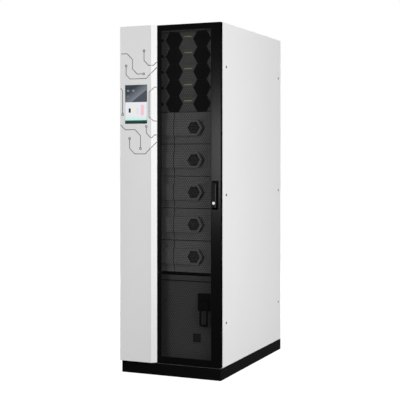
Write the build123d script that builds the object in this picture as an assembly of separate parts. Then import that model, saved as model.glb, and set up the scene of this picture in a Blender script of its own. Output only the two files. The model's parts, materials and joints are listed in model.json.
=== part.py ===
from build123d import *
import os

# Cabinet envelope. X runs to the right, Y to the back, Z up, in millimetres.
# Depths are measured from the front plane of the frame, negative towards the viewer.
WIDTH = 600
HEIGHT = 1940
BODY_DEPTH = 965
PLINTH_HEIGHT = 65
PLINTH_FRONT = -27
PLINTH_CHANNEL = 40
PLINTH_SHEET = 2.5
BASE_SHEET = 4
PANEL_FOLD = 15
PANEL_SHEET = 1.5
POST = 40
POST_WALL = 2
SILL_HEIGHT = 20
HEADER_HEIGHT = 22
REAR_SLOT_ROWS = 24
REAR_SLOT_HEIGHT = 6
REAR_SLOT_GAP = 25
REAR_MARGIN = 30

# Rack layout, counted down from the top of the rack
MODULE_COUNT = 5
MODULE_UNITS = 2
DRAWER_ROWS = 5
DRAWER_UNITS = 4
LOWER_BAY_TOP = 569.5
FASCIA_CLEARANCE = 4
RACK_EAR = 22
STACK_GAP = 1
FASCIA_DEPTH = 28
FASCIA_SHEET = 3
MODULE_LENGTH = 700
RAIL_WIDTH = 22
RAIL_RETURN = 30
RAIL_SHEET = 2

# Power module front. Shares are of the fascia's width, the module's height or the pitch of its grilles.
GRILLE_PITCH_SHARE = 0.3486
GRILLE_SPREAD = 1.07
CELL_PITCH_SHARE = 0.28
GRILLE_WALL = 4
GRILLE_CELL_DEPTH = 2
TRIM_PROUD = 6
LIGHT_LENGTH_SHARE = 2 / 7
LIGHT_HEIGHT = 4
LIGHT_DROP_SHARE = 0.3175
LOCK_RADIUS = 8
LOCK_SHIFT_SHARE = 0.2

# Battery drawer front. Shares are of the drawer's height or of its band's.
DRAWER_LENGTH = 760
DRAWER_FACE_DEPTH = 26
DRAWER_SEAM = 2
BAND_PROUD = 12
BAND_SHARE = 0.5
PULL_RECESS_DEPTH = 14
PULL_RECESS_END = 24
INSERT_SHARE = 0.36
INSERT_SINK = 2
SHELF_SHEET = 2

# Lower compartment
GUARD_DROP = 16.5
GUARD_HEIGHT = 28
GUARD_STEP = 6
COVER_SHEET = 2
SWITCH_INSET = 54
SWITCH_DROP = 112
SWITCH_WIDTH = 80
SWITCH_HEIGHT = 95
SWITCH_THICKNESS = 16
SWITCH_CORNER = 4
SWITCH_HUB_RADIUS = 19
GRIP_WIDTH = 50
GRIP_LENGTH = 132
GRIP_BAR = 11
GRIP_THICKNESS = 10

# Door
DOOR_FRONT = -29
DOOR_GAP = 5
DOOR_HEAD_GAP = 2
DOOR_SHEET = 2
COVER_STILE = 23
HANDLE_STILE = 55
TOP_STILE = 29
BOTTOM_STILE = 35
MESH_SHEET = 1.5
MESH_LAP = 3
SLOT_COLUMNS = 25
SLOT_ROWS = 10
SLOT_BAR = 4
OPENING_RELIEF = 4

# Door cover and touch screen
COVER_FRONT = -52
COVER_WIDTH = 220
COVER_CHAMFER = 27
COVER_WALL = 2
SCREEN_INSET = 100
SCREEN_DROP = 436
SCREEN_WIDTH = 137
SCREEN_HEIGHT = 216
SCREEN_SINK = 0.5
SCREEN_FLANGE = 5
SCREEN_HOUSING = 14

# Door hinges
HINGE_END = 230
HINGE_INSET = 9
HINGE_DEPTH = -19
PIN_RADIUS = 4
PIN_PLAY = 0.05
KNUCKLE_RADIUS = 7
KNUCKLE_LENGTH = 30
BRACKET_ARM = 8
BRACKET_FOOT = 20
BRACKET_EDGE = 2
BRACKET_PLATE = 3
NOTCH_CLEARANCE = 5

# Swing handle
HANDLE_INSET = 32
HANDLE_DROP = 3
DISH_WIDTH = 42
DISH_HEIGHT = 163
DISH_RIM = 3
DISH_BORDER = 4
DISH_WALL = 2
DISH_FLOOR = -14
LEVER_WIDTH = 21
LEVER_FRONT = -50
LEVER_DROP = 65
LEVER_BACK_LOW = -34
LEVER_WALL = 3
LEVER_FACE = 5
PIVOT_RISE = 64
PIVOT_DEPTH = -38
PIVOT_RADIUS = 3
LUG_WIDTH = 12
LUG_RADIUS = 6
LOCK_FACE_RADIUS = 8
LOCK_BARREL_RADIUS = 6.5
LOCK_DROP = 41
LOCK_PROUD = 2
LOCK_BARREL = 14

# Places worked out from the dimensions above
FRAME_FRONT = -(BODY_DEPTH + COVER_FRONT) / 2
HALF = WIDTH / 2
INNER = HALF - PANEL_FOLD
BAY = INNER - POST
DECK = PLINTH_HEIGHT + BASE_SHEET
SILL_TOP = DECK + SILL_HEIGHT
CEILING = HEIGHT - PANEL_FOLD
RACK_TOP = CEILING - HEADER_HEIGHT
RACK_UNIT = (RACK_TOP - LOWER_BAY_TOP) / (MODULE_COUNT * MODULE_UNITS + DRAWER_ROWS * DRAWER_UNITS)
MODULE_HEIGHT = MODULE_UNITS * RACK_UNIT
DRAWER_HEIGHT = DRAWER_UNITS * RACK_UNIT
DRAWERS_TOP = RACK_TOP - MODULE_COUNT * MODULE_HEIGHT
FASCIA_WIDTH = 2 * (BAY - FASCIA_CLEARANCE)
CHASSIS_WIDTH = FASCIA_WIDTH - 2 * RACK_EAR
RAIL_DEPTH = FASCIA_DEPTH + FASCIA_SHEET
GRILLE_PITCH = GRILLE_PITCH_SHARE * FASCIA_WIDTH
GRILLE_RADIUS = GRILLE_SPREAD * (MODULE_HEIGHT - STACK_GAP) / 3 ** 0.5
CELL_PITCH = CELL_PITCH_SHARE * MODULE_HEIGHT
LIGHT_LENGTH = LIGHT_LENGTH_SHARE * GRILLE_PITCH
LIGHT_DROP = LIGHT_DROP_SHARE * MODULE_HEIGHT
LOCK_X = LOCK_SHIFT_SHARE * (GRILLE_PITCH - 2 * GRILLE_RADIUS) - GRILLE_PITCH / 2
DRAWER_BODY_WIDTH = CHASSIS_WIDTH / 2 - DRAWER_SEAM
BAND_HEIGHT = BAND_SHARE * DRAWER_HEIGHT
INSERT_RADIUS = INSERT_SHARE * BAND_HEIGHT
GUARD_TOP = LOWER_BAY_TOP - GUARD_DROP
LOWER_COVER_TOP = GUARD_TOP - GUARD_HEIGHT
SWITCH_CENTRE = (FASCIA_WIDTH / 2 - SWITCH_INSET, LOWER_COVER_TOP - SWITCH_DROP)
DOOR_BOTTOM = PLINTH_HEIGHT + DOOR_GAP
DOOR_TOP = HEIGHT - DOOR_HEAD_GAP
DOOR_MIDDLE = (DOOR_BOTTOM + DOOR_TOP) / 2
WINDOW_LEFT = COVER_WIDTH - HALF + COVER_STILE
WINDOW_RIGHT = HALF - HANDLE_STILE
WINDOW_BOTTOM = DOOR_BOTTOM + BOTTOM_STILE
WINDOW_TOP = DOOR_TOP - TOP_STILE
SCREEN_CENTRE = (SCREEN_INSET - HALF, DOOR_TOP - SCREEN_DROP)
HINGE_X = HINGE_INSET - HALF
HINGE_HEIGHTS = (DOOR_BOTTOM + HINGE_END, DOOR_MIDDLE, DOOR_TOP - HINGE_END)
HANDLE_CENTRE = (HALF - HANDLE_INSET, DOOR_MIDDLE - HANDLE_DROP)


def block(x, depth, z):
    """A straight block between two values of X, of depth and of Z."""
    size = Box(x[1] - x[0], depth[1] - depth[0], z[1] - z[0])
    return Pos(sum(x) / 2, FRAME_FRONT + sum(depth) / 2, sum(z) / 2) * size


def front_prism(outline, near, far):
    """An X-Z outline, extruded from its near depth to its far depth."""
    return extrude(Plane.XZ.offset(-FRAME_FRONT - far) * outline, far - near, dir=(0, -1, 0))


def plan_prism(outline, bottom, top):
    """An X-depth outline, extruded from one height to another."""
    return Pos(0, FRAME_FRONT, bottom) * extrude(outline, top - bottom, dir=(0, 0, 1))


def side_prism(outline, left, right):
    """A depth-Z outline, extruded along X."""
    return Pos(left, FRAME_FRONT, 0) * extrude(Plane.YZ * outline, right - left, dir=(1, 0, 0))


def hexagon(x, z, radius):
    """A hexagon with level top and bottom edges."""
    return Pos(x, z) * RegularPolygon(radius, 6)


def polygon(*points):
    return Polygon(*points, align=None)


# Plinth, floor, frame and panels

def plinth_channel(x, depth, opening):
    """A folded channel of the plinth, open towards the inside of the cabinet."""
    outer = block(x, depth, (0, PLINTH_HEIGHT))
    inner_x = (x[0] + PLINTH_SHEET, x[1] - PLINTH_SHEET)
    inner_depth = (depth[0] + PLINTH_SHEET, depth[1] - PLINTH_SHEET)
    inner_z = (PLINTH_SHEET, PLINTH_HEIGHT - PLINTH_SHEET)
    if opening == "back":
        inner_depth = (inner_depth[0], depth[1])
    if opening == "front":
        inner_depth = (depth[0], inner_depth[1])
    if opening == "right":
        inner_x, inner_depth = (inner_x[0], x[1]), depth
    if opening == "left":
        inner_x, inner_depth = (x[0], inner_x[1]), depth
    return outer - block(inner_x, inner_depth, inner_z)


def base_plate():
    return block((-INNER, INNER), (0, BODY_DEPTH - PANEL_FOLD), (PLINTH_HEIGHT, DECK))


def front_post(side):
    """A square tube at one front corner."""
    centre = Pos(side * (INNER - POST / 2), POST / 2)
    section = centre * Rectangle(POST, POST) - centre * Rectangle(POST - 2 * POST_WALL, POST - 2 * POST_WALL)
    return plan_prism(section, DECK, CEILING)


def cross_rail(bottom, top):
    """A channel between the front posts, open to the back."""
    outer = block((-BAY, BAY), (0, POST), (bottom, top))
    hollow = block((-BAY, BAY), (POST_WALL, POST), (bottom + POST_WALL, top - POST_WALL))
    return outer - hollow


def side_panel(side):
    """A flat sheet with its four edges folded in."""
    x = sorted((side * INNER, side * HALF))
    inner_x = sorted((side * INNER, side * (HALF - PANEL_SHEET)))
    inner_depth = (PANEL_SHEET, BODY_DEPTH - PANEL_SHEET)
    inner_z = (PLINTH_HEIGHT + PANEL_SHEET, HEIGHT - PANEL_SHEET)
    return block(x, (0, BODY_DEPTH), (PLINTH_HEIGHT, HEIGHT)) - block(inner_x, inner_depth, inner_z)


def roof_panel():
    inner_x = (PANEL_SHEET - INNER, INNER - PANEL_SHEET)
    inner_depth = (PANEL_SHEET, BODY_DEPTH - PANEL_SHEET)
    outer = block((-INNER, INNER), (0, BODY_DEPTH), (CEILING, HEIGHT))
    return outer - block(inner_x, inner_depth, (CEILING, HEIGHT - PANEL_SHEET))


def rear_panel():
    """The folded back sheet, with air slots behind the power modules."""
    depth = (BODY_DEPTH - PANEL_FOLD, BODY_DEPTH)
    inner_x = (PANEL_SHEET - INNER, INNER - PANEL_SHEET)
    inner_z = (PLINTH_HEIGHT + PANEL_SHEET, CEILING - PANEL_SHEET)
    panel = block((-INNER, INNER), depth, (PLINTH_HEIGHT, CEILING))
    panel -= block(inner_x, (depth[0], depth[1] - PANEL_SHEET), inner_z)
    middle = (DRAWERS_TOP + RACK_TOP) / 2
    pitch_x = INNER - REAR_MARGIN
    pitch_z = (RACK_TOP - DRAWERS_TOP) / REAR_SLOT_ROWS
    places = Pos(0, middle) * GridLocations(pitch_x, pitch_z, 2, REAR_SLOT_ROWS)
    slots = places * SlotOverall(pitch_x - REAR_SLOT_GAP, REAR_SLOT_HEIGHT)
    return panel - front_prism(Sketch() + slots, *depth)


def mounting_rails():
    """The two upright angles that the fascias are screwed to."""
    rails = []
    for side in (-1, 1):
        face = [(side * BAY, RAIL_DEPTH), (side * (BAY - RAIL_WIDTH), RAIL_DEPTH)]
        face += [(side * (BAY - RAIL_WIDTH), RAIL_DEPTH + RAIL_SHEET)]
        face += [(side * (BAY - RAIL_SHEET), RAIL_DEPTH + RAIL_SHEET)]
        face += [(side * (BAY - RAIL_SHEET), RAIL_DEPTH + RAIL_RETURN), (side * BAY, RAIL_DEPTH + RAIL_RETURN)]
        rails.append(plan_prism(polygon(*face), SILL_TOP, RACK_TOP))
    return Compound(rails)


# Power modules

def module_centre(index):
    return RACK_TOP - (index - 0.5) * MODULE_HEIGHT


def grille_centres():
    return (-GRILLE_PITCH, 0, GRILLE_PITCH)


def power_module(index):
    """A chassis behind a steel fascia, with a honeycomb in each of its three grilles."""
    z = module_centre(index)
    half = (MODULE_HEIGHT - STACK_GAP) / 2
    fascia = block((-FASCIA_WIDTH / 2, FASCIA_WIDTH / 2), (FASCIA_DEPTH, RAIL_DEPTH), (z - half, z + half))
    chassis = block((-CHASSIS_WIDTH / 2, CHASSIS_WIDTH / 2), (RAIL_DEPTH, MODULE_LENGTH), (z - half, z + half))
    cell = RegularPolygon((CELL_PITCH - GRILLE_WALL) / 3 ** 0.5, 6)
    cells = Sketch()
    for x in grille_centres():
        cells += Pos(x, z) * cell
        cells += Pos(x, z) * PolarLocations(CELL_PITCH, 6, 30, rotate=False) * cell
    return fascia + chassis - front_prism(cells, FASCIA_DEPTH, FASCIA_DEPTH + GRILLE_CELL_DEPTH)


def module_trim(index):
    """The pads between and beside the three hexagonal grilles."""
    z = module_centre(index)
    half = (MODULE_HEIGHT - STACK_GAP) / 2
    face = Pos(0, z) * Rectangle(FASCIA_WIDTH, 2 * half)
    for x in grille_centres():
        face -= hexagon(x, z, GRILLE_RADIUS)
    face -= Pos(*light_place(index)) * Rectangle(LIGHT_LENGTH, LIGHT_HEIGHT)
    face -= Pos(LOCK_X, z) * Circle(LOCK_RADIUS)
    return front_prism(face, FASCIA_DEPTH - TRIM_PROUD, FASCIA_DEPTH)


def light_place(index):
    return GRILLE_PITCH / 2, module_centre(index) + MODULE_HEIGHT / 2 - LIGHT_DROP


def status_lights():
    """One light bar in the right-hand pad of each module."""
    bars = []
    for index in range(1, MODULE_COUNT + 1):
        bar = Pos(*light_place(index)) * Rectangle(LIGHT_LENGTH, LIGHT_HEIGHT)
        bars.append(front_prism(bar, FASCIA_DEPTH - TRIM_PROUD, FASCIA_DEPTH))
    return Compound(bars)


def module_locks():
    """One round lock in the left-hand pad of each module."""
    locks = []
    for index in range(1, MODULE_COUNT + 1):
        face = Pos(LOCK_X, module_centre(index)) * Circle(LOCK_RADIUS)
        locks.append(front_prism(face, FASCIA_DEPTH - 2 * TRIM_PROUD, FASCIA_DEPTH))
    return Compound(locks)


# Battery drawers

def drawer_centre(row, side):
    """The middle of a drawer's front, as X and Z."""
    return side * FASCIA_WIDTH / 4, DRAWERS_TOP - (row - 0.5) * DRAWER_HEIGHT


def battery_drawer(row, side):
    """A drawer whose front has an arrow-shaped band, and a finger recess past its nose."""
    x, z = drawer_centre(row, 1)
    half_width = FASCIA_WIDTH / 4 - DRAWER_SEAM
    half = (DRAWER_HEIGHT - SHELF_SHEET) / 2 - STACK_GAP
    start = x - half_width
    front = block((start, x + half_width), (DRAWER_FACE_DEPTH, RAIL_DEPTH), (z - half, z + half))
    body = block((start, start + DRAWER_BODY_WIDTH), (RAIL_DEPTH, DRAWER_LENGTH), (z - half, z + half))
    rise = BAND_HEIGHT / 2
    nose = BAND_HEIGHT / 3 ** 0.5
    shoulder = x + nose / 2
    band = polygon((start, z - rise), (shoulder, z - rise), (x + nose, z), (shoulder, z + rise), (start, z + rise))
    band -= hexagon(x, z, INSERT_RADIUS)
    end = x + half_width - PULL_RECESS_END
    recess = polygon((shoulder, z - rise), (end, z - rise), (end, z + rise), (shoulder, z + rise), (x + nose, z))
    drawer = front + body + front_prism(band, DRAWER_FACE_DEPTH - BAND_PROUD, DRAWER_FACE_DEPTH)
    drawer -= front_prism(recess, DRAWER_FACE_DEPTH, DRAWER_FACE_DEPTH + PULL_RECESS_DEPTH)
    return drawer if side > 0 else mirror(drawer, Plane.YZ)


def drawer_inserts():
    """The dark hexagons set in the noses of the bands."""
    near = DRAWER_FACE_DEPTH - BAND_PROUD + INSERT_SINK
    inserts = []
    for row in range(1, DRAWER_ROWS + 1):
        for side in (-1, 1):
            inserts.append(front_prism(hexagon(*drawer_centre(row, side), INSERT_RADIUS), near, DRAWER_FACE_DEPTH))
    return Compound(inserts)


def battery_shelves():
    """One sheet under each row of drawers, from the mounting rails to the rear panel."""
    edge = BAY - RAIL_SHEET
    depth = (RAIL_DEPTH + RAIL_SHEET, BODY_DEPTH - PANEL_SHEET)
    shelves = []
    for row in range(1, DRAWER_ROWS + 1):
        top = drawer_centre(row, 1)[1] - (DRAWER_HEIGHT - SHELF_SHEET) / 2 + STACK_GAP
        shelves.append(block((-edge, edge), depth, (top - SHELF_SHEET, top)))
    return Compound(shelves)


# Lower compartment and bypass switch

def lower_cover():
    """A folded sheet that closes the lower compartment, with a set-back guard along its top."""
    near = RAIL_DEPTH - COVER_SHEET
    outline = polygon(
        (near, SILL_TOP), (RAIL_DEPTH, SILL_TOP), (RAIL_DEPTH, LOWER_COVER_TOP - COVER_SHEET),
        (RAIL_DEPTH + GUARD_STEP, LOWER_COVER_TOP - COVER_SHEET), (RAIL_DEPTH + GUARD_STEP, GUARD_TOP),
        (near + GUARD_STEP, GUARD_TOP), (near + GUARD_STEP, LOWER_COVER_TOP), (near, LOWER_COVER_TOP),
    )
    edge = BAY - RAIL_WIDTH
    sheet = side_prism(outline, -edge, edge)
    for side in (-1, 1):
        x = sorted((side * edge, side * FASCIA_WIDTH / 2))
        sheet += block(x, (near, RAIL_DEPTH), (SILL_TOP, LOWER_COVER_TOP))
    return sheet


def switch_front():
    return RAIL_DEPTH - COVER_SHEET - SWITCH_THICKNESS


def bypass_switch():
    """The switch housing, with the round boss and shaft that its grip turns on."""
    x, z = SWITCH_CENTRE
    near = switch_front()
    face = RectangleRounded(SWITCH_WIDTH, SWITCH_HEIGHT, SWITCH_CORNER)
    housing = front_prism(Pos(x, z) * face, near, RAIL_DEPTH - COVER_SHEET)
    return housing + front_prism(Pos(x, z) * Circle(PIN_RADIUS), near - GRIP_THICKNESS - DOOR_GAP, near)


def bypass_handle():
    """A loop grip that hangs from its hub and turns a quarter of a circle."""
    x, z = SWITCH_CENTRE
    corner = GRIP_WIDTH / 4
    reach = GRIP_LENGTH + corner
    loop = Pos(x, z - reach / 2 + corner) * RectangleRounded(GRIP_WIDTH, reach, corner)
    inside_top = z - SWITCH_HUB_RADIUS - GRIP_BAR
    inside_bottom = z - GRIP_LENGTH + GRIP_BAR
    inside = RectangleRounded(GRIP_WIDTH - 2 * GRIP_BAR, inside_top - inside_bottom, GRIP_BAR / 2)
    far = switch_front() - DOOR_GAP
    face = loop + Pos(x, z) * Circle(SWITCH_HUB_RADIUS) - Pos(x, (inside_top + inside_bottom) / 2) * inside
    face -= Pos(x, z) * Circle(PIN_RADIUS + PIN_PLAY)
    return front_prism(face, far - GRIP_THICKNESS, far)


# Door

def door_frame():
    """A folded steel tray with the mesh window, the handle cut-out and the hinge notches."""
    back = -DOOR_GAP
    tray = block((-HALF, HALF), (DOOR_FRONT, back), (DOOR_BOTTOM, DOOR_TOP))
    inner_x = (DOOR_SHEET - HALF, HALF - DOOR_SHEET)
    inner_z = (DOOR_BOTTOM + DOOR_SHEET, DOOR_TOP - DOOR_SHEET)
    tray -= block(inner_x, (DOOR_FRONT + DOOR_SHEET, back), inner_z)
    tray -= block((WINDOW_LEFT, WINDOW_RIGHT), (DOOR_FRONT, back), (WINDOW_BOTTOM, WINDOW_TOP))
    pocket = Pos(*HANDLE_CENTRE) * RectangleRounded(*dish_pocket(DISH_WALL), DISH_BORDER)
    tray -= front_prism(pocket, DOOR_FRONT, back)
    tray -= block((-HALF, HINGE_X), (back - OPENING_RELIEF, back), (DOOR_BOTTOM, DOOR_TOP))
    for z in HINGE_HEIGHTS:
        notch_z = (z - NOTCH_CLEARANCE, z + BRACKET_ARM + NOTCH_CLEARANCE)
        tray -= block((-HALF, DOOR_SHEET - HALF), (DOOR_FRONT + DOOR_SHEET, back), notch_z)
    return tray


def door_mesh():
    """The window's sheet, open in upright slots that keep the open share of its perforation."""
    near = DOOR_FRONT + DOOR_SHEET
    x = (WINDOW_LEFT - MESH_LAP, WINDOW_RIGHT + MESH_LAP)
    z = (WINDOW_BOTTOM - MESH_LAP, WINDOW_TOP + MESH_LAP)
    sheet = block(x, (near, near + MESH_SHEET), z)
    pitch_x = (WINDOW_RIGHT - WINDOW_LEFT) / SLOT_COLUMNS
    pitch_z = (WINDOW_TOP - WINDOW_BOTTOM) / SLOT_ROWS
    centre = Pos((WINDOW_LEFT + WINDOW_RIGHT) / 2, (WINDOW_BOTTOM + WINDOW_TOP) / 2)
    places = centre * GridLocations(pitch_x, pitch_z, SLOT_COLUMNS, SLOT_ROWS)
    slots = Sketch() + places * Rectangle(pitch_x - SLOT_BAR, pitch_z - SLOT_BAR)
    return sheet - front_prism(slots, near, near + MESH_SHEET)


def cover_outline(inset):
    """The cover's plan, moved in from its left, front and chamfered faces."""
    run = COVER_CHAMFER
    rise = DOOR_FRONT - COVER_FRONT
    slant = inset * (run ** 2 + rise ** 2) ** 0.5 / rise
    left = inset - HALF
    front = COVER_FRONT + inset
    right = COVER_WIDTH - HALF - slant
    corner = right - run * (DOOR_FRONT - front) / rise
    return polygon((left, DOOR_FRONT), (left, front), (corner, front), (right, DOOR_FRONT))


def display_cover():
    """A hollow white fascia over the hinge side of the door, chamfered along its free edge."""
    shell = plan_prism(cover_outline(0), DOOR_BOTTOM, DOOR_TOP)
    shell -= plan_prism(cover_outline(COVER_WALL), DOOR_BOTTOM + COVER_WALL, DOOR_TOP - COVER_WALL)
    window = Pos(*SCREEN_CENTRE) * Rectangle(SCREEN_WIDTH, SCREEN_HEIGHT)
    return shell - front_prism(window, COVER_FRONT, COVER_FRONT + COVER_WALL)


def touch_screen():
    """A glass front in the cover's window, on a housing that seats behind it."""
    seat = COVER_FRONT + COVER_WALL
    glass = Pos(*SCREEN_CENTRE) * Rectangle(SCREEN_WIDTH, SCREEN_HEIGHT)
    rim = 2 * SCREEN_FLANGE
    housing = Pos(*SCREEN_CENTRE) * Rectangle(SCREEN_WIDTH + rim, SCREEN_HEIGHT + rim)
    return front_prism(glass, COVER_FRONT + SCREEN_SINK, seat) + front_prism(housing, seat, seat + SCREEN_HOUSING)


# Door hinges

def hinge_brackets():
    """Lift-off hinge halves on the left post: a foot, an arm and an upright pin."""
    pin = Pos(HINGE_X, HINGE_DEPTH)
    foot_x = (BRACKET_EDGE - INNER, BRACKET_EDGE - INNER + BRACKET_FOOT)
    foot = Pos(sum(foot_x) / 2, -BRACKET_PLATE / 2) * Rectangle(BRACKET_FOOT, BRACKET_PLATE)
    arm = make_hull((pin * Circle(KNUCKLE_RADIUS)).edges() + foot.edges())
    brackets = []
    for z in HINGE_HEIGHTS:
        bracket = plan_prism(arm, z, z + BRACKET_ARM)
        bracket += plan_prism(foot, z - BRACKET_ARM, z + KNUCKLE_LENGTH)
        bracket += plan_prism(pin * Circle(PIN_RADIUS), z + BRACKET_ARM, z + BRACKET_ARM + KNUCKLE_LENGTH)
        brackets.append(bracket)
    return Compound(brackets)


def door_hinges():
    """Lift-off hinge halves on the door: a bored knuckle on a block behind the front sheet."""
    pin = Pos(HINGE_X, HINGE_DEPTH)
    near = DOOR_FRONT + DOOR_SHEET
    left = DOOR_SHEET - HALF
    right = HINGE_X + KNUCKLE_RADIUS
    root = polygon((left, near), (right, near), (right, HINGE_DEPTH), (left, HINGE_DEPTH))
    section = root + pin * Circle(KNUCKLE_RADIUS) - pin * Circle(PIN_RADIUS + PIN_PLAY)
    knuckles = []
    for z in HINGE_HEIGHTS:
        bottom = z + BRACKET_ARM + 2 * DOOR_SHEET
        knuckles.append(plan_prism(section, bottom, bottom + KNUCKLE_LENGTH))
    return Compound(knuckles)


# Swing handle

def dish_pocket(wall):
    """The width and height of the dish's pocket, or of its outside with a wall added."""
    return DISH_WIDTH - 2 * DISH_BORDER + 2 * wall, DISH_HEIGHT - 2 * DISH_BORDER + 2 * wall


def pivot_height():
    return HANDLE_CENTRE[1] + PIVOT_RISE


def handle_dish():
    """A dish sunk in the door's stile, with a rim, and the lug and pin that carry the lever."""
    place = Pos(*HANDLE_CENTRE)
    rim = place * RectangleRounded(DISH_WIDTH, DISH_HEIGHT, 2 * DISH_BORDER)
    outside = place * RectangleRounded(*dish_pocket(DISH_WALL), DISH_BORDER)
    pocket = place * RectangleRounded(*dish_pocket(0), DISH_BORDER)
    dish = front_prism(rim, DOOR_FRONT - DISH_RIM, DOOR_FRONT)
    dish += front_prism(outside, DOOR_FRONT, DISH_FLOOR + DISH_WALL)
    dish -= front_prism(pocket, DOOR_FRONT - DISH_RIM, DISH_FLOOR)
    x = HANDLE_CENTRE[0]
    lug = Pos(PIVOT_DEPTH, pivot_height()) * Circle(LUG_RADIUS)
    middle = (PIVOT_DEPTH + DISH_FLOOR) / 2
    lug += Pos(middle, pivot_height()) * Rectangle(DISH_FLOOR - PIVOT_DEPTH, 2 * LUG_RADIUS)
    dish += side_prism(lug, x - LUG_WIDTH / 2, x + LUG_WIDTH / 2)
    pin = Pos(PIVOT_DEPTH, pivot_height()) * Circle(PIVOT_RADIUS)
    return dish + side_prism(pin, x - LEVER_WIDTH / 2, x + LEVER_WIDTH / 2)


def handle_lever():
    """A channel-shaped lever, rounded about its pivot at the top."""
    x = HANDLE_CENTRE[0]
    top = pivot_height()
    low = HANDLE_CENTRE[1] - LEVER_DROP
    radius = PIVOT_DEPTH - LEVER_FRONT
    back = PIVOT_DEPTH + radius
    profile = polygon((LEVER_FRONT, low), (LEVER_BACK_LOW, low), (back, top), (LEVER_FRONT, top))
    profile += Pos(PIVOT_DEPTH, top) * Circle(radius)
    lever = side_prism(profile, x - LEVER_WIDTH / 2, x + LEVER_WIDTH / 2)
    inner = LEVER_WIDTH / 2 - LEVER_WALL
    channel_z = (low + LEVER_WALL, top + 2 * radius)
    lever -= block((x - inner, x + inner), (LEVER_FRONT + LEVER_FACE, DISH_FLOOR), channel_z)
    pin = Pos(PIVOT_DEPTH, top) * Circle(PIVOT_RADIUS + PIN_PLAY)
    lever -= side_prism(pin, x - LEVER_WIDTH / 2, x + LEVER_WIDTH / 2)
    lock = Pos(x, HANDLE_CENTRE[1] - LOCK_DROP) * Circle(LOCK_BARREL_RADIUS)
    return lever - front_prism(lock, LEVER_FRONT, LEVER_FRONT + LEVER_FACE)


def lock_cylinder():
    """The round lock in the lever: a face on the lever and a barrel through it."""
    place = Pos(HANDLE_CENTRE[0], HANDLE_CENTRE[1] - LOCK_DROP)
    face = front_prism(place * Circle(LOCK_FACE_RADIUS), LEVER_FRONT - LOCK_PROUD, LEVER_FRONT)
    return face + front_prism(place * Circle(LOCK_BARREL_RADIUS), LEVER_FRONT, LEVER_FRONT + LOCK_BARREL)


# All the nodes, by name

def all_parts():
    front_end = PLINTH_FRONT + PLINTH_CHANNEL
    rear_start = BODY_DEPTH - PLINTH_CHANNEL
    parts = {
        "plinth_front": plinth_channel((-HALF, HALF), (PLINTH_FRONT, front_end), "back"),
        "plinth_rear": plinth_channel((-HALF, HALF), (rear_start, BODY_DEPTH), "front"),
        "plinth_left": plinth_channel((-HALF, PLINTH_CHANNEL - HALF), (front_end, rear_start), "right"),
        "plinth_right": plinth_channel((HALF - PLINTH_CHANNEL, HALF), (front_end, rear_start), "left"),
        "base_plate": base_plate(),
        "front_left_post": front_post(-1),
        "front_right_post": front_post(1),
        "header_rail": cross_rail(RACK_TOP, CEILING),
        "sill_rail": cross_rail(DECK, SILL_TOP),
        "roof_panel": roof_panel(),
        "left_side_panel": side_panel(-1),
        "right_side_panel": side_panel(1),
        "rear_panel": rear_panel(),
        "mounting_rails": mounting_rails(),
        "status_lights": status_lights(),
        "module_locks": module_locks(),
        "drawer_inserts": drawer_inserts(),
        "battery_shelves": battery_shelves(),
        "lower_cover": lower_cover(),
        "bypass_switch": bypass_switch(),
        "bypass_handle": bypass_handle(),
        "hinge_brackets": hinge_brackets(),
        "door_frame": door_frame(),
        "door_mesh": door_mesh(),
        "display_cover": display_cover(),
        "touch_screen": touch_screen(),
        "door_hinges": door_hinges(),
        "handle_dish": handle_dish(),
        "handle_lever": handle_lever(),
        "lock_cylinder": lock_cylinder(),
    }
    for index in range(1, MODULE_COUNT + 1):
        parts[f"power_module_{index}"] = power_module(index)
        parts[f"module_trim_{index}"] = module_trim(index)
    for row in range(1, DRAWER_ROWS + 1):
        parts[f"battery_drawer_{row}_left"] = battery_drawer(row, -1)
        parts[f"battery_drawer_{row}_right"] = battery_drawer(row, 1)
    return parts


os.makedirs("parts", exist_ok=True)
for name, shape in all_parts().items():
    export_step(shape, f"parts/{name}.step")
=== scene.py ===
import json
import math

import bpy
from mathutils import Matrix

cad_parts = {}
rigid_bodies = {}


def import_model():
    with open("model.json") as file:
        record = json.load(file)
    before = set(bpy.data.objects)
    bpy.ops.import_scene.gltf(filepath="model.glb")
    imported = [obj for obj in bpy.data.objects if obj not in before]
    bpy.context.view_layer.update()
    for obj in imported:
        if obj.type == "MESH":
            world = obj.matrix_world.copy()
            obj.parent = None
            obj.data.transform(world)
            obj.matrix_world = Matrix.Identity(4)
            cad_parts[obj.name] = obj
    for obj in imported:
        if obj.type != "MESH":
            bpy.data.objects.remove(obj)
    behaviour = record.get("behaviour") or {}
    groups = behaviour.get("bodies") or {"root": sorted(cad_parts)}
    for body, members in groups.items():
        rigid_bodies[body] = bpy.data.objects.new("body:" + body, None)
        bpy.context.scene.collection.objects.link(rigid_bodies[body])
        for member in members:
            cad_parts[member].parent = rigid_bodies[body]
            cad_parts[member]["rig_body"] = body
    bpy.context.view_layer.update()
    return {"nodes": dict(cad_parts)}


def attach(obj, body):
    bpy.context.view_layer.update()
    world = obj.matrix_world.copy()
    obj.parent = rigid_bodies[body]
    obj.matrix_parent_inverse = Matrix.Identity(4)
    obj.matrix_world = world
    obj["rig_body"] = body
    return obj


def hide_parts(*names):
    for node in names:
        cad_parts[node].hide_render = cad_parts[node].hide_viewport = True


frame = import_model()

# Plinth: four folded steel channels that the cabinet stands on, open to the inside.
# The steel is bent on a press brake, so each fold has a small radius, and powder
# coated matt black with a faint orange peel.
MM = 0.001
FRAME_FRONT = -456.5 * MM
PLINTH_FOLD = 0.95
MERGE = 0.01
FLAT_ANGLE = math.radians(1)
ROUND_ANGLE = math.radians(40)
SMOOTH_ANGLE = math.radians(35)
EDGE_PATCH = 35
TONE_DRIFT = 220
PEEL_HEIGHT = 0.1
# Tone for the faces that look up: a painted highlight.
TOP_FOLD_HIGHLIGHT = "#6E6E70"


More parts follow.
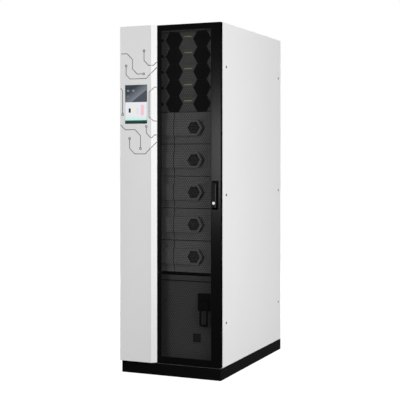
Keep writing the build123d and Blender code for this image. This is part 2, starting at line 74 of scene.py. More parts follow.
def colour(code):
    """Turns an sRGB hex colour into the linear values that a shader takes."""
    parts = [int(code[i:i + 2], 16) / 255 for i in (1, 3, 5)]
    return (*[p / 12.92 if p <= 0.04045 else ((p + 0.055) / 1.055) ** 2.4 for p in parts], 1.0)


def add_node(tree, kind, inputs=None, **settings):
    """Adds a node, gives it its settings, and fills its inputs with values or links."""
    made = tree.nodes.new(kind)
    for name, value in settings.items():
        setattr(made, name, value)
    for name, value in (inputs or {}).items():
        if isinstance(value, bpy.types.NodeSocket):
            tree.links.new(value, made.inputs[name])
        else:
            made.inputs[name].default_value = value
    return made


def start_finish(name):
    """A new material with an empty tree, and the object coordinates that its patterns read."""
    finish = bpy.data.materials.new(name)
    finish.use_nodes = True
    finish.node_tree.nodes.clear()
    place = add_node(finish.node_tree, "ShaderNodeTexCoord").outputs["Object"]
    return finish, finish.node_tree, place


def edge_wear_and_highlight(tree, paint, wear_and_highlight):
    """Lets the edge tone show in patches along a piece's rounded edges, and gives the mixed colour: wear on
    most finishes, a painted highlight on the graphite coat.
    """
    place = add_node(tree, "ShaderNodeTexCoord").outputs["Object"]
    edge = add_node(tree, "ShaderNodeAttribute", attribute_name="edge")
    patch = add_node(tree, "ShaderNodeTexNoise", {
        "Vector": place, "Scale": 1 / (EDGE_PATCH * MM), "Detail": 5.0,
    })
    share = add_node(tree, "ShaderNodeMath", {
        0: edge.outputs["Fac"], 1: patch.outputs["Fac"],
    }, operation="MULTIPLY")
    return add_node(tree, "ShaderNodeMix", {
        0: share.outputs["Value"], 6: paint, 7: colour(wear_and_highlight),
    }, data_type="RGBA").outputs[2]


def powder_coat(name, paint, shade, wear_and_highlight, roughness, specular, peel):
    """Baked powder paint: a fine orange peel, a slow drift of tone and gloss, and an edge tone that is wear
    on most coats and a painted highlight on the graphite coat.
    """
    finish, tree, place = start_finish(name)
    drift = add_node(tree, "ShaderNodeTexNoise", {
        "Vector": place, "Scale": 1 / (TONE_DRIFT * MM), "Detail": 3.0,
    })
    grain = add_node(tree, "ShaderNodeTexNoise", {
        "Vector": place, "Scale": 1 / (peel * MM), "Detail": 2.0,
    })
    tone = add_node(tree, "ShaderNodeMix", {
        0: drift.outputs["Fac"], 6: colour(paint), 7: colour(shade),
    }, data_type="RGBA")
    gloss = add_node(tree, "ShaderNodeMapRange", {
        "Value": grain.outputs["Fac"], "To Min": roughness - 0.06, "To Max": roughness + 0.06,
    })
    bump = add_node(tree, "ShaderNodeBump", {
        "Height": grain.outputs["Fac"], "Strength": 0.2, "Distance": PEEL_HEIGHT * MM,
    })
    coat = add_node(tree, "ShaderNodeBsdfPrincipled", {
        "Base Color": edge_wear_and_highlight(tree, tone.outputs[2], wear_and_highlight), "Roughness": gloss.outputs["Result"],
        "Normal": bump.outputs["Normal"], "Specular IOR Level": specular,
    })
    add_node(tree, "ShaderNodeOutputMaterial", {"Surface": coat.outputs["BSDF"]})
    return finish


def lightened(finish, way, low, high, tone):
    """Lightens the faces that look one way: a painted highlight where a ledge or edge catches the light."""
    tree = finish.node_tree
    shader = tree.nodes["Principled BSDF"]
    paint = shader.inputs["Base Color"].links[0].from_socket
    facing = add_node(tree, "ShaderNodeTexCoord").outputs["Normal"]
    along = add_node(tree, "ShaderNodeVectorMath", {0: facing, 1: way}, operation="DOT_PRODUCT")
    share = add_node(tree, "ShaderNodeMapRange", {
        "Value": along.outputs["Value"], "From Min": low, "From Max": high,
    })
    mixed = add_node(tree, "ShaderNodeMix", {
        0: share.outputs["Result"], 6: paint, 7: colour(tone),
    }, data_type="RGBA")
    tree.links.new(mixed.outputs[2], shader.inputs["Base Color"])


def hold(piece):
    """Selects one object alone and makes it active."""
    bpy.ops.object.select_all(action="DESELECT")
    piece.select_set(True)
    bpy.context.view_layer.objects.active = piece


def dress(piece, finish, body):
    """Gives a piece its finish and the body it moves with."""
    piece.data.materials.clear()
    piece.data.materials.append(finish)
    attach(piece, body)
    return piece


def settle(piece):
    """Shades the small rounded edges smoothly and leaves the broad faces flat."""
    hold(piece)
    bpy.ops.object.shade_smooth_by_angle(angle=SMOOTH_ANGLE)
    flat = piece.modifiers.new("flat", "WEIGHTED_NORMAL")
    flat.keep_sharp = True
    bpy.ops.object.modifier_apply(modifier=flat.name)


def softened(node, radius, finish, reshape=None):
    """A copy of a CAD node with whole faces and rounded edges, shown in the node's place."""
    source = frame["nodes"][node]
    piece = bpy.data.objects.new(f"{node}_finished", source.data.copy())
    bpy.context.scene.collection.objects.link(piece)
    hold(piece)
    bpy.ops.mesh.customdata_custom_splitnormals_clear()
    bpy.ops.object.mode_set(mode="EDIT")
    bpy.ops.mesh.select_all(action="SELECT")
    bpy.ops.mesh.remove_doubles(threshold=MERGE * MM)
    bpy.ops.mesh.dissolve_limited(angle_limit=FLAT_ANGLE)
    bpy.ops.object.mode_set(mode="OBJECT")
    if reshape:
        reshape(piece)
    # The bevel marks its own faces by a second material, and that mark becomes the edge attribute, which
    # carries wear and, on the graphite coat, a painted highlight.
    piece.data.materials.clear()
    piece.data.materials.append(finish)
    piece.data.materials.append(finish)
    piece.data.polygons.foreach_set("material_index", [0] * len(piece.data.polygons))
    edge = piece.modifiers.new("edge", "BEVEL")
    edge.width = radius * MM
    edge.segments = 2
    edge.limit_method = "ANGLE"
    edge.angle_limit = ROUND_ANGLE
    edge.material = 1
    bpy.ops.object.modifier_apply(modifier=edge.name)
    rounded = [face.material_index for face in piece.data.polygons]
    edge_mark = piece.data.attributes.new("edge", "FLOAT", "FACE")
    edge_mark.data.foreach_set("value", [float(index) for index in rounded])
    piece.data.polygons.foreach_set("material_index", [0] * len(rounded))
    settle(piece)
    dress(piece, finish, source["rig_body"])
    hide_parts(node)
    return piece


# Matt black coat: deep and even with hardly any gloss, and the ledges that face up are painted lighter: a
# painted highlight for the light their top fold catches.
black_coat = powder_coat("black powder coated steel", "#0D0D0E", "#101011", "#202021", 0.45, 0.003, 1.4)
lightened(black_coat, (0, 0, 1), 0.3, 0.8, TOP_FOLD_HIGHLIGHT)
for side in ("front", "rear", "left", "right"):
    softened(f"plinth_{side}", PLINTH_FOLD, black_coat)

# Floor plate, front posts and cross rails: the welded frame of folded steel.
# It is powder coated mid grey, and a strip of the header shows through the door's window.
FRAME_FOLD = 0.8
# Mid grey coat: a plain dull grey, paler than what it carries.
frame_coat = powder_coat("mid grey powder coated steel", "#6A6A6A", "#656565", "#7C7C7C", 0.5, 0.1, 1.4)
for node in ("base_plate", "front_left_post", "front_right_post", "header_rail", "sill_rail"):
    softened(node, FRAME_FOLD, frame_coat)

# Side panels: flat steel sheets with folded edges, powder coated white.
# Six sunk screws hold each one to the frame, and they show as small dark dots.
PANEL_FOLD = 0.7
PANEL_FACE = 300
SCREW_DEPTHS = (55, 923)
SCREW_HEIGHTS = (302, 1001, 1700)
SCREW_HOLE = 9.0
SCREW_RADIUS = 8.6
SCREW_SINK = 3.2
ROUND_SIDES = 20
HEAD_HEIGHT = 4
HEAD_ROUND = 1.0
DRIVE_DEPTH = 1.6
DRILL_LENGTH = 12
SPANGLE = 6
SMEAR = 25
# White coat: a soft gloss, so that a large sheet shades gently from one end to the other.
white_coat = powder_coat("white powder coated steel", "#EAEAEA", "#E6E6E6", "#D2D1CE", 0.36, 0.55, 1.8)


def zinc_steel(name, tint, roughness):
    """Passivated zinc on steel: a dull metal with a cloudy spangle a few millimetres across."""
    finish, tree, place = start_finish(name)
    spangle = add_node(tree, "ShaderNodeTexVoronoi", {"Vector": place, "Scale": 1 / (SPANGLE * MM)})
    smear = add_node(tree, "ShaderNodeTexNoise", {
        "Vector": place, "Scale": 1 / (SMEAR * MM), "Detail": 4.0,
    })
    tone = add_node(tree, "ShaderNodeMix", {
        0: smear.outputs["Fac"], 6: colour(tint), 7: spangle.outputs["Color"],
    }, data_type="RGBA", blend_type="OVERLAY")
    grey = add_node(tree, "ShaderNodeHueSaturation", {"Saturation": 0.1, "Color": tone.outputs[2]})
    gloss = add_node(tree, "ShaderNodeMapRange", {
        "Value": smear.outputs["Fac"], "To Min": roughness - 0.08, "To Max": roughness + 0.08,
    })
    metal = add_node(tree, "ShaderNodeBsdfPrincipled", {
        "Base Color": grey.outputs["Color"], "Roughness": gloss.outputs["Result"], "Metallic": 1.0,
    })
    add_node(tree, "ShaderNodeOutputMaterial", {"Surface": metal.outputs["BSDF"]})
    return finish


# Black zinc: a dark metal with no more than a glint, so each head reads as a dot.
dark_screw = zinc_steel("black zinc plated steel", "#0E0E0F", 0.45)


def pick_faces(piece, test):
    """Goes to edit mode with only the faces selected that pass a test."""
    bpy.ops.object.mode_set(mode="EDIT")
    bpy.ops.mesh.select_mode(type="FACE")
    bpy.ops.mesh.select_all(action="DESELECT")
    bpy.ops.object.mode_set(mode="OBJECT")
    for face in piece.data.polygons:
        face.select = test(face)
    bpy.ops.object.mode_set(mode="EDIT")


def sunk_screw(name, radius, turn):
    """A pan head with a round drive recess, modelled at the origin and looking out along +Z."""
    bpy.ops.object.select_all(action="DESELECT")
    bpy.ops.mesh.primitive_cylinder_add(vertices=ROUND_SIDES, radius=radius * MM, depth=HEAD_HEIGHT * MM)
    screw = bpy.context.object
    screw.name = name
    pick_faces(screw, lambda face: face.normal.z > 0.9)
    bpy.ops.mesh.bevel(offset=HEAD_ROUND * MM, segments=2, affect="EDGES")
    pick_faces(screw, lambda face: face.normal.z > 0.99)
    bpy.ops.mesh.inset(thickness=radius / 3 * MM)
    bpy.ops.mesh.extrude_region_move(TRANSFORM_OT_translate={"value": (0, 0, -DRIVE_DEPTH * MM)})
    bpy.ops.object.mode_set(mode="OBJECT")
    bpy.ops.object.shade_smooth_by_angle(angle=SMOOTH_ANGLE)
    screw.rotation_euler = turn
    bpy.ops.object.transform_apply(location=False, rotation=True, scale=False)
    return screw


def copies(piece, places, name):
    """One mesh that holds a copy of a modelled piece at each place, in millimetres."""
    made = []
    for x, y, z in places:
        twin = bpy.data.objects.new(name, piece.data.copy())
        bpy.context.scene.collection.objects.link(twin)
        twin.location = (x * MM, y * MM, z * MM)
        made.append(twin)
    bpy.data.objects.remove(piece)
    hold(made[0])
    for twin in made:
        twin.select_set(True)
    bpy.ops.object.join()
    bpy.ops.object.transform_apply(location=True, rotation=True, scale=True)
    made[0].name = name
    return made[0]


def cut_away(piece, cutter):
    """Cuts the shape of a cutter out of a piece."""
    hold(piece)
    cut = piece.modifiers.new("cut", "BOOLEAN")
    cut.object = cutter
    bpy.ops.object.modifier_apply(modifier=cut.name)


def bored(panel, places, turn):
    """Cuts the screw holes through a panel."""
    bpy.ops.object.select_all(action="DESELECT")
    bpy.ops.mesh.primitive_cylinder_add(
        vertices=ROUND_SIDES, radius=SCREW_HOLE * MM, depth=DRILL_LENGTH * MM, rotation=turn,
    )
    drill = copies(bpy.context.object, places, "drill")
    cut_away(panel, drill)
    bpy.data.objects.remove(drill)
    bpy.ops.mesh.customdata_custom_splitnormals_clear()
    settle(panel)


for side, name in ((-1, "left"), (1, "right")):
    panel = softened(f"{name}_side_panel", PANEL_FOLD, white_coat)
    front = FRAME_FRONT / MM
    places = [(side * PANEL_FACE, front + depth, z) for depth in SCREW_DEPTHS for z in SCREW_HEIGHTS]
    turn = (0, side * math.pi / 2, 0)
    bored(panel, places, turn)
    screw = sunk_screw("panel_screw", SCREW_RADIUS, turn)
    heads = [(x - side * SCREW_SINK, y, z) for x, y, z in places]
    dress(copies(screw, heads, f"{name}_panel_screws"), dark_screw, "cabinet")

# Roof and rear panel: the same white sheet. The rear one has long air slots behind
# the power modules and is held by the same sunk screws as the sides.
REAR_FOLD = 0.5
REAR_FACE = 508.5
REAR_TURN = (-math.pi / 2, 0, 0)
REAR_SCREWS = [(x, REAR_FACE, z) for x in (-262, 262) for z in (140, 720, 1300, 1880)]
softened("roof_panel", PANEL_FOLD, white_coat)
rear = softened("rear_panel", REAR_FOLD, white_coat)
bored(rear, REAR_SCREWS, REAR_TURN)
screw = sunk_screw("rear_screw", SCREW_RADIUS, REAR_TURN)
heads = [(x, y - SCREW_SINK, z) for x, y, z in REAR_SCREWS]
dress(copies(screw, heads, "rear_panel_screws"), dark_screw, "cabinet")

# Mounting rails: upright strips of bent steel in the frame that carry the modules and drawers.
# They are zinc plated and left unpainted.
RAIL_FOLD = 0.6
# Bright zinc: a pale dull metal, mottled by its spangle.
bright_zinc = zinc_steel("zinc plated steel", "#9FA3A6", 0.38)
softened("mounting_rails", RAIL_FOLD, bright_zinc)

# Power modules: each a black chassis behind a steel fascia with three hexagonal grilles.
# A grille is a sheet punched in a fine honeycomb, painted matt black like the chassis and shelves.
MODULES = range(1, 6)
MODULE_TOP = 1903
MODULE_PITCH = 88.9
MODULE_FOLD = 0.4
SHELF_FOLD = 0.6
GRILLE_CENTRES = (-168, 0, 168)
GRILLE_RADIUS = 54.1
GRILLE_REACH = 43.8
GRILLE_DEPTH = 26
GRILLE_CELL = 7.5
GRILLE_WEB = 1.6
GRILLE_SHEET = 1.5
CELL_MERGE = 0.05
# Matt black coat: a soft near black that keeps the grilles dark without hiding their holes.
matt_black = powder_coat(
    "matt black powder coated steel", "#171718", "#1B1B1C", "#282828", 0.6, 0.03, 1.2,
)


def honeycomb(name, low, high, pitch, web):
    """A flat sheet of hexagonal holes that covers an X-Z rectangle, facing the front at Y = 0."""
    row = pitch * math.sqrt(3)
    columns = math.ceil((high[0] - low[0]) / pitch) + 2
    rows = math.ceil((high[1] - low[1]) / row) + 2
    bpy.ops.object.select_all(action="DESELECT")
    bpy.ops.mesh.primitive_circle_add(vertices=6, radius=pitch / math.sqrt(3) * MM, fill_type="NGON")
    sheet = bpy.context.object
    sheet.name = name
    bpy.ops.object.mode_set(mode="EDIT")
    bpy.ops.mesh.duplicate_move(TRANSFORM_OT_translate={"value": (pitch / 2 * MM, row / 2 * MM, 0)})
    bpy.ops.object.mode_set(mode="OBJECT")
    for count, step in ((columns, (pitch * MM, 0, 0)), (rows, (0, row * MM, 0))):
        array = sheet.modifiers.new("array", "ARRAY")
        array.use_relative_offset = False
        array.use_constant_offset = True
        array.constant_offset_displace = step
        array.count = count
        bpy.ops.object.modifier_apply(modifier=array.name)
    bpy.ops.object.mode_set(mode="EDIT")
    bpy.ops.mesh.select_mode(type="FACE")
    bpy.ops.mesh.select_all(action="SELECT")
    bpy.ops.mesh.remove_doubles(threshold=CELL_MERGE * MM)
    bpy.ops.mesh.inset(thickness=web / 2 * MM, use_individual=True)
    bpy.ops.mesh.delete(type="FACE")
    bpy.ops.object.mode_set(mode="OBJECT")
    left = (low[0] + high[0]) / 2 - (columns - 0.5) * pitch / 2
    foot = (low[1] + high[1]) / 2 - (rows - 0.5) * row / 2
    sheet.rotation_euler = (math.pi / 2, 0, 0)
    sheet.location = (left * MM, 0, foot * MM)
    bpy.ops.object.transform_apply(location=True, rotation=True, scale=True)
    return sheet


def trim_sheet(sheet, planes):
    """Cuts a sheet off past each plane, given as a point and an outward direction in X and Z."""
    hold(sheet)
    bpy.ops.object.mode_set(mode="EDIT")
    for point, out in planes:
        bpy.ops.mesh.select_all(action="SELECT")
        bpy.ops.mesh.bisect(
            plane_co=(point[0] * MM, 0, point[1] * MM), plane_no=(out[0], 0, out[1]), clear_outer=True,
        )
    bpy.ops.object.mode_set(mode="OBJECT")


def thickened(sheet, depth, thickness):
    """Gives a punched sheet its thickness and sets its front at a depth behind the frame's front."""
    hold(sheet)
    wall = sheet.modifiers.new("wall", "SOLIDIFY")
    wall.thickness = thickness * MM
    wall.offset = -1
    bpy.ops.object.modifier_apply(modifier=wall.name)
    sheet.location.y = FRAME_FRONT + depth * MM
    bpy.ops.object.transform_apply(location=True, rotation=True, scale=True)


def hexagon_grille(name, radius, reach, depth):
    """A punched hexagon centred on X = Z = 0, cut level at its reach above and below."""
    span = radius + GRILLE_CELL
    apothem = radius * math.sqrt(3) / 2
    sheet = honeycomb(name, (-span, -span), (span, span), GRILLE_CELL, GRILLE_WEB)
    sides = [(math.radians(30 + 60 * k), apothem if k % 3 != 1 else reach) for k in range(6)]
    trim_sheet(sheet, [
        ((far * math.cos(a), far * math.sin(a)), (math.cos(a), math.sin(a))) for a, far in sides
    ])
    thickened(sheet, depth, GRILLE_SHEET)
    return sheet


grille = hexagon_grille("module_grille", GRILLE_RADIUS, GRILLE_REACH, GRILLE_DEPTH)
for index in MODULES:
    middle = MODULE_TOP - (index - 0.5) * MODULE_PITCH
    twin = bpy.data.objects.new("module_grille", grille.data.copy())
    bpy.context.scene.collection.objects.link(twin)
    places = [(x, 0, middle) for x in GRILLE_CENTRES]
    dress(copies(twin, places, f"module_grilles_{index}"), matt_black, "cabinet")
    softened(f"power_module_{index}", MODULE_FOLD, matt_black)
bpy.data.objects.remove(grille)
softened("battery_shelves", SHELF_FOLD, matt_black)

# Pads between the grilles: graphite grey ABS covers, clipped on to the modules' fascias.
# They are injection moulded in a spark-eroded tool, which leaves a fine grain.
PAD_ROUND = 0.8
CLOUD = 90
GRAIN_HEIGHT = 0.08


def moulded_plastic(name, tint, shade, wear_and_highlight, roughness, specular, grain):
    """Injection moulded plastic: an even colour under a spark-eroded grain, rubbed along the edges."""
    finish, tree, place = start_finish(name)
    spark = add_node(tree, "ShaderNodeTexVoronoi", {"Vector": place, "Scale": 1 / (grain * MM)})
    cloud = add_node(tree, "ShaderNodeTexNoise", {
        "Vector": place, "Scale": 1 / (CLOUD * MM), "Detail": 4.0,
    })
    tone = add_node(tree, "ShaderNodeMix", {
        0: cloud.outputs["Fac"], 6: colour(tint), 7: colour(shade),
    }, data_type="RGBA")
    gloss = add_node(tree, "ShaderNodeMapRange", {
        "Value": cloud.outputs["Fac"], "To Min": roughness - 0.05, "To Max": roughness + 0.05,
    })
    bump = add_node(tree, "ShaderNodeBump", {
        "Height": spark.outputs["Distance"], "Strength": 0.25, "Distance": GRAIN_HEIGHT * MM,
    })
    plastic = add_node(tree, "ShaderNodeBsdfPrincipled", {
        "Base Color": edge_wear_and_highlight(tree, tone.outputs[2], wear_and_highlight), "Roughness": gloss.outputs["Result"],
        "Normal": bump.outputs["Normal"], "Specular IOR Level": specular,
    })
    add_node(tree, "ShaderNodeOutputMaterial", {"Surface": plastic.outputs["BSDF"]})
    return finish


# Graphite ABS: an even mid grey that sets the black grilles apart.
graphite_abs = moulded_plastic("graphite grey abs", "#555554", "#505050", "#646463", 0.5, 0.12, 0.9)
for index in MODULES:
    softened(f"module_trim_{index}", PAD_ROUND, graphite_abs)

# Status lights: clear moulded light pipes pushed through the pads, one bar to a module.
# A lamp on the module's circuit board lights each one from behind.
PIPE_ROUND = 0.8
BEAD = 9
# Lit light pipe: a pale yellow-green glow, a little uneven along the bar.
light_pipe, tree, place = start_finish("lit light pipe")
bead = add_node(tree, "ShaderNodeTexNoise", {"Vector": place, "Scale": 1 / (BEAD * MM), "Detail": 1.0})
glow = add_node(tree, "ShaderNodeMix", {
    0: bead.outputs["Fac"], 6: colour("#D9DF8E"), 7: colour("#F0F4B8"),
}, data_type="RGBA")
pipe = add_node(tree, "ShaderNodeBsdfPrincipled", {
    "Base Color": colour("#55573C"), "Roughness": 0.3,
    "Emission Color": glow.outputs[2], "Emission Strength": 0.2,
})
add_node(tree, "ShaderNodeOutputMaterial", {"Surface": pipe.outputs["BSDF"]})
softened("status_lights", PIPE_ROUND, light_pipe)

# Module locks: round knobs in the left pads, a quarter turn to free a module.
# They are moulded in black plastic and snap on to the lock's shaft.
KNOB_ROUND = 1.2
# Black ABS: near black with a faint grain, so only its rounded edges catch light.
black_abs = moulded_plastic("black abs", "#050506", "#080809", "#161617", 0.45, 0.02, 0.8)
softened("module_locks", KNOB_ROUND, black_abs)

# Battery drawers: folded steel fronts with a raised arrow band and a sunk finger recess,
# powder coated graphite grey, two to a row and mirrored about the middle of the cabinet.
ROWS = range(1, 6)
DRAWER_TOP = 1458.5
DRAWER_PITCH = 177.8
DRAWER_MIDDLE = 120.5
DRAWER_ROUND = 2.0
RECESS_FLOOR = 40
RECESS_SHOWN = 30.2
HOLE_RADII = (37, 33.6)
HOLE_DEPTHS = (13.6, 27.0)
GROOVE = (12, 12, 70)
GROOVE_TIP = 51.5
GROOVE_SLOPE = 0.577
GROOVE_DEPTH = 34
DRAWER_CENTRES = [
    (side * DRAWER_MIDDLE, DRAWER_TOP - (row - 0.5) * DRAWER_PITCH) for row in ROWS for side in (-1, 1)
]
# Graphite coat: a dull mid grey, painted pale on the rounded edges that outline band and recess: a painted
# highlight for the light those edges catch.
graphite_coat = powder_coat(
    "graphite powder coated steel", "#646464", "#5F5F5F", "#A2A2A2", 0.5, 0.12, 1.4,
)


def hexagon_plug(front, back, depths):
    """A hexagonal plug along Y about the origin, with a radius at each end and a length between depths."""
    bpy.ops.object.select_all(action="DESELECT")
    bpy.ops.mesh.primitive_cone_add(
        vertices=6, radius1=back * MM, radius2=front * MM,
        depth=(depths[1] - depths[0]) * MM, rotation=(0, 0, math.pi / 6),
    )
    plug = bpy.context.object
    bpy.ops.object.transform_apply(location=False, rotation=True, scale=False)
    plug.rotation_euler = (math.pi / 2, 0, 0)
    bpy.ops.object.transform_apply(location=False, rotation=True, scale=False)
    return plug


def block(size):
    """A box of a size in millimetres about the origin."""
    bpy.ops.object.select_all(action="DESELECT")
    bpy.ops.mesh.primitive_cube_add(size=1, scale=[s * MM for s in size])
    bpy.ops.object.transform_apply(location=False, rotation=False, scale=True)
    return bpy.context.object


depth = FRAME_FRONT / MM + sum(HOLE_DEPTHS) / 2
plug = hexagon_plug(*HOLE_RADII, HOLE_DEPTHS)
front_cutter = copies(plug, [(x, depth, z) for x, z in DRAWER_CENTRES], "front_cutter")
for side in (-1, 1):
    groove = block(GROOVE)
    bpy.ops.object.mode_set(mode="EDIT")
    bpy.ops.mesh.select_all(action="SELECT")
    bpy.ops.mesh.bisect(plane_co=(0, 0, 0), plane_no=(0, 0, 1))
    bpy.ops.object.mode_set(mode="OBJECT")
    for point in groove.data.vertices:
        middle = GROOVE_TIP + GROOVE[0] / 2 - abs(point.co.z / MM) * GROOVE_SLOPE
        point.co.x += side * middle * MM
    places = [(x, FRAME_FRONT / MM + GROOVE_DEPTH, z) for x, z in DRAWER_CENTRES if x * side > 0]
    grooves = copies(groove, places, "grooves")
    hold(front_cutter)
    grooves.select_set(True)
    bpy.ops.object.join()


def drawer_front(drawer):
    """Draws the recess shallow with a groove behind the band's nose, and flares the insert's hole."""
    for point in drawer.data.vertices:
        if abs(point.co.y - FRAME_FRONT - RECESS_FLOOR * MM) < 0.1 * MM:
            point.co.y = FRAME_FRONT + RECESS_SHOWN * MM
    cut_away(drawer, front_cutter)


for row in ROWS:
    for side in ("left", "right"):
        softened(f"battery_drawer_{row}_{side}", DRAWER_ROUND, graphite_coat, drawer_front)
bpy.data.objects.remove(front_cutter)

# Drawer inserts: black moulded hexagon cups pushed in the flared holes from the front.
# Each has an open charcoal honeycomb front that lets air in to the batteries.
CUP_RADIUS = 33.5
CUP_RIM = 2.5
CUP_DEPTHS = (18.5, 26.8)
CUP_FLOOR = 4
CUP_ROUND = 0.6
COMB_PLAY = 0.3
COMB_SINK = 0.6
# Charcoal ABS: a dark grey just light enough for the cells to show against the black cup.
charcoal_abs = moulded_plastic("charcoal abs", "#4E4E4F", "#494949", "#565656", 0.5, 0.1, 0.8)


def hollowed(piece, way, rim, depth):
    """Sinks the face that looks one way and leaves a rim around it."""
    pick_faces(piece, lambda face: face.normal.dot(way) > 0.9)
    bpy.ops.mesh.inset(thickness=rim * MM)
    bpy.ops.mesh.extrude_region_move(TRANSFORM_OT_translate={"value": [-part * depth * MM for part in way]})
    bpy.ops.object.mode_set(mode="OBJECT")


def rounded_off(piece, radius):
    """Rounds every edge of a modelled piece and shades it."""
    edge = piece.modifiers.new("edge", "BEVEL")
    edge.width = radius * MM
    edge.segments = 2
    bpy.ops.object.modifier_apply(modifier=edge.name)
    settle(piece)


cup = hexagon_plug(CUP_RADIUS, CUP_RADIUS, CUP_DEPTHS)
hollowed(cup, (0, -1, 0), CUP_RIM, CUP_FLOOR)
rounded_off(cup, CUP_ROUND)
depth = FRAME_FRONT / MM + sum(CUP_DEPTHS) / 2
cups = copies(cup, [(x, depth, z) for x, z in DRAWER_CENTRES], "drawer_cups")
dress(cups, black_abs, "cabinet")
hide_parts("drawer_inserts")
reach = CUP_RADIUS - CUP_RIM - COMB_PLAY
comb = hexagon_grille("drawer_insert_front", reach, reach, CUP_DEPTHS[0] + COMB_SINK)
places = [(x, 0, z) for x, z in DRAWER_CENTRES]
dress(copies(comb, places, "drawer_insert_fronts"), charcoal_abs, "cabinet")

# Rack screws: pan heads that hold the modules, the drawers and the lower cover to the rails.
# They are cold headed steel, black zinc plated like the panel screws.
EAR = 230
RACK_RADIUS = 5
MODULE_EAR = 22
DRAWER_EAR = 26
COVER_EAR = 29
DRAWER_STEPS = (-60, 60)
COVER_LEVELS = (110, 310, 510)
heads = [
    (side * EAR, MODULE_EAR, MODULE_TOP - (index - 0.5) * MODULE_PITCH)
    for index in MODULES for side in (-1, 1)
]
heads += [(math.copysign(EAR, x), DRAWER_EAR, z + step) for x, z in DRAWER_CENTRES for step in DRAWER_STEPS]
heads += [(side * EAR, COVER_EAR, z) for z in COVER_LEVELS for side in (-1, 1)]
heads = [(x, FRAME_FRONT / MM + depth, z) for x, depth, z in heads]
screw = sunk_screw("rack_screw", RACK_RADIUS, (math.pi / 2, 0, 0))
dress(copies(screw, heads, "rack_screws"), dark_screw, "cabinet")

# Lower cover: a folded sheet over the cable compartment, a darker graphite than the drawers,
# with a bare moulded plate clipped in its spare cut-out.
LOWER_FOLD = 0.6
PLATE_SIZE = (46, 3, 48)
PLATE_PLACE = (135, 27.5, 212.5)
PLATE_RIM = 5
PLATE_SINK = 1.2
PLATE_ROUND = 0.5
# Dark graphite coat: a dull dark grey, even over the whole sheet.
lower_coat = powder_coat(
    "dark graphite powder coated steel", "#4A4A4A", "#464646", "#5C5C5C", 0.5, 0.1, 1.4,
)
# Dark grey ABS: a step darker than the sheet, so the plate stands out softly.
plate_abs = moulded_plastic("dark grey abs", "#1E1E1F", "#222223", "#343434", 0.5, 0.05, 0.8)


def set_in(piece, place):
    """Moves a modelled piece to an X, a depth behind the frame's front and a height, in millimetres."""
    piece.location = (place[0] * MM, FRAME_FRONT + place[1] * MM, place[2] * MM)
    bpy.ops.object.transform_apply(location=True, rotation=False, scale=False)


softened("lower_cover", LOWER_FOLD, lower_coat)
plate = block(PLATE_SIZE)
plate.name = "blank_plate"
hollowed(plate, (0, -1, 0), PLATE_RIM, PLATE_SINK)
rounded_off(plate, PLATE_ROUND)
set_in(plate, PLATE_PLACE)
dress(plate, plate_abs, "cabinet")

# Edging: an extruded strip of black rubber with a slot along its underside. It is pushed over the lower
# cover's top edge, and its black draws the dark seam between the guard strip and the cover: painted shade.
EDGING = (478, 5, 5)
EDGING_PLACE = (0, 29.5, 523)
EDGING_LIP = 1.4
EDGING_SLOT = 3
EDGING_ROUND = 0.6
# Rubber: a dead black with no sheen, painted shade for the shadowed seam.
seam_shade_rubber = moulded_plastic("black edging rubber", "#0A0A0B", "#0D0D0E", "#161616", 0.7, 0.03, 0.6)
edging = block(EDGING)
edging.name = "cover_edging"
hollowed(edging, (0, 0, -1), EDGING_LIP, EDGING_SLOT)
rounded_off(edging, EDGING_ROUND)
set_in(edging, EDGING_PLACE)
dress(edging, seam_shade_rubber, "cabinet")

# Bypass switch: a housing screwed to the lower cover, with a loop grip on its shaft.
# Both are moulded in black ABS with generous radii.
HOUSING_ROUND = 1.5
GRIP_ROUND = 2.0
softened("bypass_switch", HOUSING_ROUND, black_abs)
softened("bypass_handle", GRIP_ROUND, black_abs)

# Hinges: lift-off hinges, with the fixed half on the left post and the knuckle in the door.
# They are rolled from steel strip and zinc plated like the rails.
HINGE_ROUND = 0.6
softened("hinge_brackets", HINGE_ROUND, bright_zinc)
softened("door_hinges", HINGE_ROUND, bright_zinc)

# Door: a folded steel tray with a large window, hung on the hinges at its left.
# It is powder coated black, and its folded right edge has the coat without reflection: painted shade for
# the shadow that edge lies in.
DOOR_FOLD = 0.8
# Satin black coat: so dark that it shows little but the long reflection of a lamp down the stile.
door_coat = powder_coat(
    "satin black powder coated steel", "#030304", "#050506", "#121213", 0.22, 0.022, 1.4,
)
# Matt edge: painted shade, the black coat with no reflection, so the door's right edge reads as a dark line
# beside the white side panel.
shaded_edge_coat = powder_coat(
    "matt black painted shade edge", "#060607", "#080809", "#121213", 0.6, 0.0, 1.4,
)
tray = softened("door_frame", DOOR_FOLD, door_coat)
tray.data.materials.append(shaded_edge_coat)
# The faces that look right take the matt edge: painted shade.
for part in tray.data.polygons:
    part.material_index = 1 if part.normal.x > 0.8 else 0

# Door sheet: thin steel punched with hexagonal holes inside a plain border and painted black.
# The holes are drawn coarser than real ones, so that they show and the sheet can be solid mesh.
WINDOW_LOW = (-57, 105)
WINDOW_HIGH = (245, 1909)
HOLE_PITCH = 11.2
HOLE_WEB = 1.3
LAP = 3
BORDER = 6
SHEET_DEPTH = -27
SHEET_WALL = 1.0
# Black painted steel: thin dark webs that dim what lies behind, like a veil.
mesh_coat = powder_coat("black painted punched steel", "#171718", "#1B1B1C", "#242424", 0.5, 0.02, 1.2)


def pane(low, high, y):
    """A flat face over an X-Z rectangle in millimetres, looking to the front."""
    bpy.ops.object.select_all(action="DESELECT")
    bpy.ops.mesh.primitive_plane_add(size=1, rotation=(math.pi / 2, 0, 0))
    made = bpy.context.object
    made.scale = [(b - a) * MM for a, b in zip(low, high)] + [1]
    made.location = ((low[0] + high[0]) / 2 * MM, y, (low[1] + high[1]) / 2 * MM)
    bpy.ops.object.transform_apply(location=True, rotation=True, scale=True)
    return made


